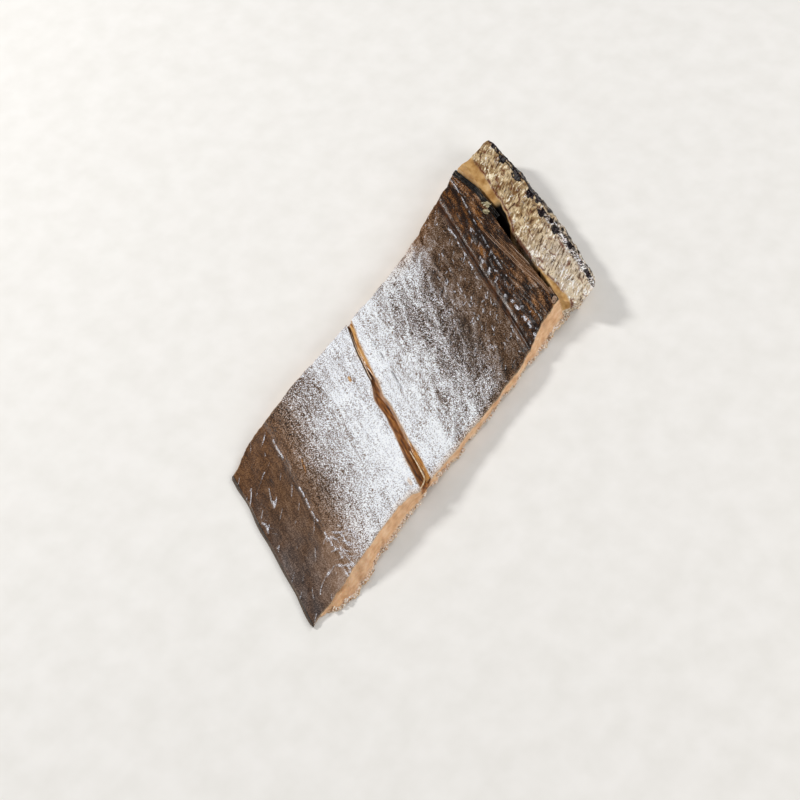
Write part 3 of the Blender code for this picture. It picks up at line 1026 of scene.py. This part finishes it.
class Nodes:
    """Short calls for one material. A value may be a number, a node's output or an attribute's name."""

    def __init__(self, name):
        self.material = bpy.data.materials.new(name)
        self.material.use_nodes = True
        self.tree = self.material.node_tree
        self.place = self.add("ShaderNodeTexCoord", "Object", {})

    def add(self, kind, output, inputs, **settings):
        """One output of a new node."""
        node = self.tree.nodes.new(kind)
        for key, value in settings.items():
            setattr(node, key, value)
        self.fill(node, inputs)
        return node.outputs[output]

    def fill(self, node, inputs):
        for key, value in inputs.items():
            if isinstance(value, str):
                value = self.add("ShaderNodeAttribute", "Fac", {}, attribute_name=value)
            if isinstance(value, bpy.types.NodeSocket):
                self.tree.links.new(value, node.inputs[key])
            else:
                node.inputs[key].default_value = value

    def math(self, operation, first, second):
        return self.add("ShaderNodeMath", 0, {0: first, 1: second}, operation=operation)

    def plus(self, first, second):
        return self.math("ADD", first, second)

    def times(self, first, second):
        return self.math("MULTIPLY", first, second)

    def noise(self, size, detail=2, stretch=None, angle=0.0, distortion=0):
        """Noise whose features are about size across, drawn out by stretch along a direction in the plan."""
        place = self.place
        if stretch:
            place = self.add("ShaderNodeMapping", 0, {"Vector": place, "Rotation": (0, 0, -angle)})
            place = self.add("ShaderNodeMapping", 0, {"Vector": place, "Scale": (1 / stretch, 1, 1)})
        inputs = {"Vector": place, "Scale": 1 / (size * MM), "Detail": detail, "Distortion": distortion}
        return self.add("ShaderNodeTexNoise", "Fac", inputs)

    def ramp(self, value, *stops):
        """Colour stops, each a place from 0 to 1 and a colour from 0 to 255."""
        colour = self.add("ShaderNodeValToRGB", "Color", {"Fac": value})
        elements = colour.node.color_ramp.elements
        while len(elements) < len(stops):
            elements.new(0.5)
        for element, (place, *channels) in zip(elements, stops):
            element.position = place
            element.color = srgb(*channels)
        return colour

    def levels(self, value, low, high, out_low=0, out_high=1):
        inputs = {"Value": value, "From Min": low, "From Max": high, "To Min": out_low, "To Max": out_high}
        return self.add("ShaderNodeMapRange", "Result", inputs, clamp=True)

    def over(self, below, amount, colour, strength=1):
        """A colour laid over another, as much as amount says."""
        if strength < 1:
            amount = self.times(amount, strength)
        return self.add("ShaderNodeMix", 2, {0: amount, 6: below, 7: colour}, data_type="RGBA")

    def bump(self, height, distance, strength, below=None):
        inputs = {"Height": height, "Distance": distance * MM, "Strength": strength}
        if below:
            inputs["Normal"] = below
        return self.add("ShaderNodeBump", "Normal", inputs)

    def finish(self, **values):
        """Fills the shader's inputs, named with _ for each space, and gives the material."""
        shader = self.tree.nodes["Principled BSDF"]
        self.fill(shader, {key.replace("_", " "): value for key, value in values.items()})
        return self.material


FISH_ANGLE = math.atan2(1, LEAN)
FACET_COLOURS = ((0.34, 158, 116, 66), (0.55, 196, 156, 102), (0.7, 220, 184, 134))


def skin_material():
    nodes = Nodes("eel_skin")
    pepper = nodes.noise(0.33, detail=1)
    brushed = nodes.noise(0.8, stretch=4, angle=FISH_ANGLE)
    cloud = nodes.noise(6, detail=3)
    tone = nodes.plus("tone", nodes.times(nodes.levels(pepper, 0.33, 0.67, -0.54, 0.5), "pepper"))
    brushing = nodes.plus(nodes.times("pepper", 0.12), 0.03)
    tone = nodes.plus(tone, nodes.times(nodes.levels(brushed, 0.3, 0.7, -1, 1), brushing))
    tone = nodes.plus(tone, nodes.levels(cloud, 0.3, 0.7, -0.04, 0.04))
    silver = nodes.ramp(
        tone,
        (0.03, 26, 16, 8),
        (0.2, 81, 56, 35),
        (0.34, 111, 86, 65),
        (0.48, 144, 127, 116),
        (0.62, 176, 170, 168),
        (0.76, 210, 213, 223),
        (0.88, 237, 243, 255),
        (0.97, 249, 252, 255),
    )
    neutral = nodes.ramp(tone, (0, 24, 24, 26), (0.25, 84, 82, 82), (0.9, 230, 232, 238))
    amber = nodes.ramp(tone, (0.02, 30, 14, 3), (0.2, 84, 46, 12), (0.5, 168, 112, 48), (0.85, 212, 168, 112))
    # Painted highlight: pale blue-white on the crests of the sharp ridges, broken up by the speckle.
    painted_glint_amount = nodes.times(nodes.levels("painted_glint", 0.3, 0.75), nodes.levels(pepper, 0.47, 0.57, 0.1, 1))
    colour = nodes.over(silver, "cool", neutral)
    colour = nodes.over(colour, "amber", amber, 0.95)
    colour = nodes.over(colour, "cut_edge", srgb(196, 170, 136), 0.4)
    # painted highlight on the ridge crests
    colour = nodes.over(colour, painted_glint_amount, srgb(232, 234, 244))
    # near-black marks, and painted shade by the slit, the long ridge, thin creases and the crease
    colour = nodes.over(colour, "dark", srgb(16, 11, 9))
    fine = nodes.bump(nodes.times(pepper, nodes.plus("pepper", 0.05)), 0.3, 0.8)
    roughness = nodes.math("SUBTRACT", nodes.levels(pepper, 0.3, 0.7, 0.42, 0.52), nodes.times("gloss", 0.22))
    normal = nodes.bump(brushed, 0.12, 0.5, below=fine)
    sheen = {"Coat_Weight": 0.04, "Coat_Roughness": 0.1, "Specular_IOR_Level": 0.24}
    return nodes.finish(Base_Color=colour, Roughness=roughness, Normal=normal, **sheen)


def flesh_material():
    nodes = Nodes("eel_flesh")
    fibre_noise = nodes.noise(0.8, detail=3, stretch=3)
    cloud = nodes.noise(3.5, detail=3)
    speck = nodes.noise(0.55)
    streak = nodes.noise(0.55, detail=3, stretch=7, angle=FISH_ANGLE)
    mixed = nodes.plus(nodes.times(fibre_noise, 0.5), nodes.times(cloud, 0.5))
    colour = nodes.ramp(mixed, (0.34, 194, 146, 104), (0.5, 218, 174, 132), (0.66, 232, 196, 158))
    crumb = nodes.ramp(speck, (0.36, 150, 112, 84), (0.5, 208, 186, 164), (0.64, 246, 240, 234))
    oily = nodes.ramp(mixed, (0.34, 158, 108, 54), (0.5, 206, 164, 104), (0.66, 232, 204, 152))
    brown = nodes.ramp(streak, (0.34, 74, 38, 10), (0.5, 134, 80, 30), (0.68, 176, 118, 56))
    colour = nodes.over(colour, "lower", crumb, 0.9)
    colour = nodes.over(colour, "under", oily)
    colour = nodes.over(colour, "spine", srgb(146, 92, 40), 0.6)
    colour = nodes.over(colour, "slit", brown)
    colour = nodes.over(colour, "char", srgb(30, 21, 16), 0.9)
    colour = nodes.over(colour, "facet", nodes.ramp(cloud, *FACET_COLOURS))
    # painted shade: near black in the crease and along the slit's front edge
    colour = nodes.over(colour, "crease", srgb(12, 8, 6))
    roughness = nodes.plus(nodes.levels(speck, 0.3, 0.7, 0.36, 0.55), nodes.times("crease", 0.4))
    normal = nodes.bump(fibre_noise, 0.2, 0.5, below=nodes.bump(speck, 0.18, 0.6))
    inside = {"Subsurface_Weight": 0.2, "Subsurface_Scale": 1 * MM, "Subsurface_Radius": (1, 0.55, 0.3)}
    sheen = {"Coat_Weight": 0.1, "Coat_Roughness": 0.3, "Specular_IOR_Level": 0.35}
    return nodes.finish(Base_Color=colour, Roughness=roughness, Normal=normal, **inside, **sheen)


def rim_material():
    nodes = Nodes("fin_rim")
    spines = nodes.noise(0.62, stretch=4.5, angle=0.2)
    cloud = nodes.noise(3, detail=3)
    speck = nodes.noise(0.7, distortion=0.5)
    patches = nodes.noise(4.5, detail=1)
    bony = nodes.ramp(cloud, (0.36, 128, 96, 62), (0.5, 170, 142, 102), (0.64, 210, 186, 148))
    bony = nodes.over(bony, "pale", srgb(234, 222, 202), 0.5)
    brown = nodes.times(nodes.levels(spines, 0.48, 0.37, 0, 0.9), nodes.levels(patches, 0.6, 0.43, 0.1))
    bony = nodes.over(bony, brown, srgb(66, 40, 24))
    # Painted highlights: sheaves of white streaks on the crests of the spines' bump.
    pale = nodes.times(nodes.levels(spines, 0.53, 0.61), nodes.levels(patches, 0.42, 0.58, 0.15))
    bony = nodes.over(bony, pale, nodes.over(srgb(250, 234, 202), "pale", srgb(252, 249, 246)))
    bony = nodes.over(bony, nodes.levels(speck, 0.42, 0.34, 0, 0.6), srgb(92, 64, 42))
    # Painted highlights: white on the spines, broken up by the speckle.
    white = nodes.times(nodes.levels("painted_glint", 0.4, 0.9), nodes.levels(speck, 0.48, 0.58, 0, 0.9))
    # Black fin skin, with painted blue-grey and white glints mixed in by the speckle.
    mottled_stops = (0.4, 16, 14, 18), (0.47, 74, 72, 84), (0.52, 172, 158, 140), (0.6, 244, 245, 250)
    mottled_with_painted_glints = nodes.ramp(speck, *mottled_stops)
    fin = nodes.ramp(speck, (0.54, 7, 2, 4), (0.64, 44, 22, 28), (0.74, 130, 114, 120))
    colour = nodes.over(nodes.ramp(cloud, *FACET_COLOURS), "rough", bony)
    colour = nodes.over(colour, white, srgb(253, 252, 250))
    colour = nodes.over(colour, "stain", srgb(104, 48, 30), 0.9)
    colour = nodes.over(colour, "mottle_and_painted_glints", mottled_with_painted_glints, 0.9)
    colour = nodes.over(colour, "fin", fin)
    # painted shade: near black on the wall down into the crease
    colour = nodes.over(colour, "crease", srgb(10, 7, 5))
    bare = nodes.levels("fin", 0.2, 0.8, 1, 0.15)
    fine = nodes.bump(nodes.times(speck, bare), 0.15, 0.6)
    roughness = nodes.times(nodes.levels(speck, 0.3, 0.7, 0.32, 0.48), nodes.levels(bare, 0, 1, 0.65))
    roughness = nodes.plus(roughness, nodes.times("crease", 0.4))
    normal = nodes.bump(nodes.times(spines, bare), 0.3, 0.7, below=fine)
    inside = {"Subsurface_Weight": 0.1, "Subsurface_Scale": 0.8 * MM, "Subsurface_Radius": (1, 0.6, 0.35)}
    sheen = {"Coat_Weight": 0.02, "Coat_Roughness": 0.12, "Specular_IOR_Level": 0.05}
    return nodes.finish(Base_Color=colour, Roughness=roughness, Normal=normal, **inside, **sheen)


def plain_material(name, noise, stops, relief=None, cut_edge=None, **values):
    """A material whose colours and relief come from one noise. relief is a bump's distance and strength."""
    nodes = Nodes(name)
    lines = nodes.noise(**noise)
    colour = nodes.ramp(lines, *stops)
    if cut_edge:
        colour = nodes.over(colour, "cut_edge", srgb(*cut_edge), 0.7)
    if relief:
        values["Normal"] = nodes.bump(lines, *relief)
    return nodes.finish(Base_Color=colour, **values)


# ---------------- floor, light and camera

CAMERA_PLACE = (-0.32242, -0.204, 0.4577)
CAMERA_TARGET = (-0.01147, -0.00205, 0)
CAMERA_RIGHT = Vector((0.5446, -0.8387, 0))
CAMERA_AHEAD = Vector((0.8387, 0.5446, 0))
CAMERA_LENS = 85
FLOOR_HALF = 1.5
# Each light's name, its metres to the camera's right, ahead and up from the piece, its size, watts and colour
LIGHTS = (
    ("key", (-0.72, 0.26, 0.5), 0.16, 5.3, (1, 0.99, 0.97)),
    ("sheen", (0.6, 0.75, 0.55), 0.3, 2.7, (1, 1, 1)),
    ("fill", (0.65, -0.35, 0.45), 0.6, 2.95, (1, 0.97, 0.93)),
)
WORLD_LIGHT = 0.36


def floor(material):
    corners = [(x * FLOOR_HALF, y * FLOOR_HALF, 0) for x, y in ((-1, -1), (1, -1), (1, 1), (-1, 1))]
    mesh = bpy.data.meshes.new("floor")
    mesh.from_pydata(corners, [], [(0, 1, 2, 3)])
    mesh.materials.append(material)
    obj = in_scene("floor", mesh)


def aim(obj, place, target):
    obj.location = place
    obj.rotation_euler = (Vector(target) - Vector(place)).to_track_quat("-Z", "Y").to_euler()


def studio():
    for name, (right, ahead, up), size, watts, colour in LIGHTS:
        light = bpy.data.lights.new(name, "AREA")
        light.shape = "DISK"
        light.size = size
        light.energy = watts
        light.color = colour
        place = CAMERA_RIGHT * right + CAMERA_AHEAD * ahead + Vector((0, 0, up))
        aim(in_scene(name, light), place, (0, 0, 0))
    world = bpy.data.worlds.new("studio")
    world.use_nodes = True
    background = world.node_tree.nodes["Background"]
    background.inputs["Color"].default_value = (1, 1, 1, 1)
    background.inputs["Strength"].default_value = WORLD_LIGHT
    bpy.context.scene.world = world
    bpy.context.scene.view_settings.view_transform = "Standard"


def camera():
    data = bpy.data.cameras.new("camera")
    data.sensor_width = 36
    data.lens = CAMERA_LENS
    data.clip_start = 0.01
    obj = in_scene("camera", data)
    aim(obj, CAMERA_PLACE, CAMERA_TARGET)
    bpy.context.scene.camera = obj


camera()
skin = skin_material()
flesh = flesh_material()
film = plain_material(
    "slit_film",
    {"size": 0.6, "detail": 3, "stretch": 6, "angle": FISH_ANGLE},
    ((0.32, 120, 70, 20), (0.5, 182, 122, 50), (0.68, 212, 166, 100)),
    relief=(0.25, 0.7),
    cut_edge=(76, 42, 14),
    Roughness=0.35,
    Coat_Weight=0.15,
    Coat_Roughness=0.15,
)
strand = plain_material(
    "slit_strand",
    {"size": 0.8},
    ((0.35, 176, 140, 96), (0.65, 222, 202, 172)),
    Roughness=0.35,
    Coat_Weight=0.2,
    Coat_Roughness=0.15,
)
membrane = plain_material(
    "fin_membrane",
    {"size": 0.7, "detail": 3, "stretch": 7, "angle": FISH_ANGLE},
    ((0.46, 9, 7, 6), (0.6, 30, 25, 20), (0.7, 112, 96, 72)),
    relief=(0.3, 0.8),
    Roughness=0.42,
    Coat_Weight=0.05,
    Coat_Roughness=0.15,
    Specular_IOR_Level=0.15,
)
nodule = plain_material(
    "crease_nodules",
    {"size": 0.7, "detail": 3},
    ((0.36, 92, 80, 50), (0.5, 158, 146, 108), (0.66, 206, 198, 164)),
    relief=(0.4, 0.8),
    Roughness=0.4,
    Coat_Weight=0.3,
    Coat_Roughness=0.2,
)
paper = plain_material("floor", {"size": 9}, ((0.3, 236, 234, 230), (0.7, 242, 240, 237)), Roughness=0.7)

skin_piece("skin_front", skin, front_reach, 235, 205)
skin_piece("skin_back", skin, back_reach, 240, 204)
skin_piece("left_film", film, left_film_reach, 8, 150, sides=(0.22, 0.975), lift=-0.14, thickness=FILM)
skin_piece("left_lip", skin, left_lip_reach, 4, 130, sides=(0.3, 0.9), lift=-0.16, thickness=FILM)
skin_piece("right_film", film, right_film_reach, 10, 130, sides=(-0.985, -0.42), lift=-0.22, thickness=FILM)
flesh_piece(flesh)
rim_piece(rim_material())
fin_membrane(membrane)
skin_fibres(skin)
slit_strand(strand)
crease_nodules(nodule)
crumbs(flesh)
floor(paper)
studio()
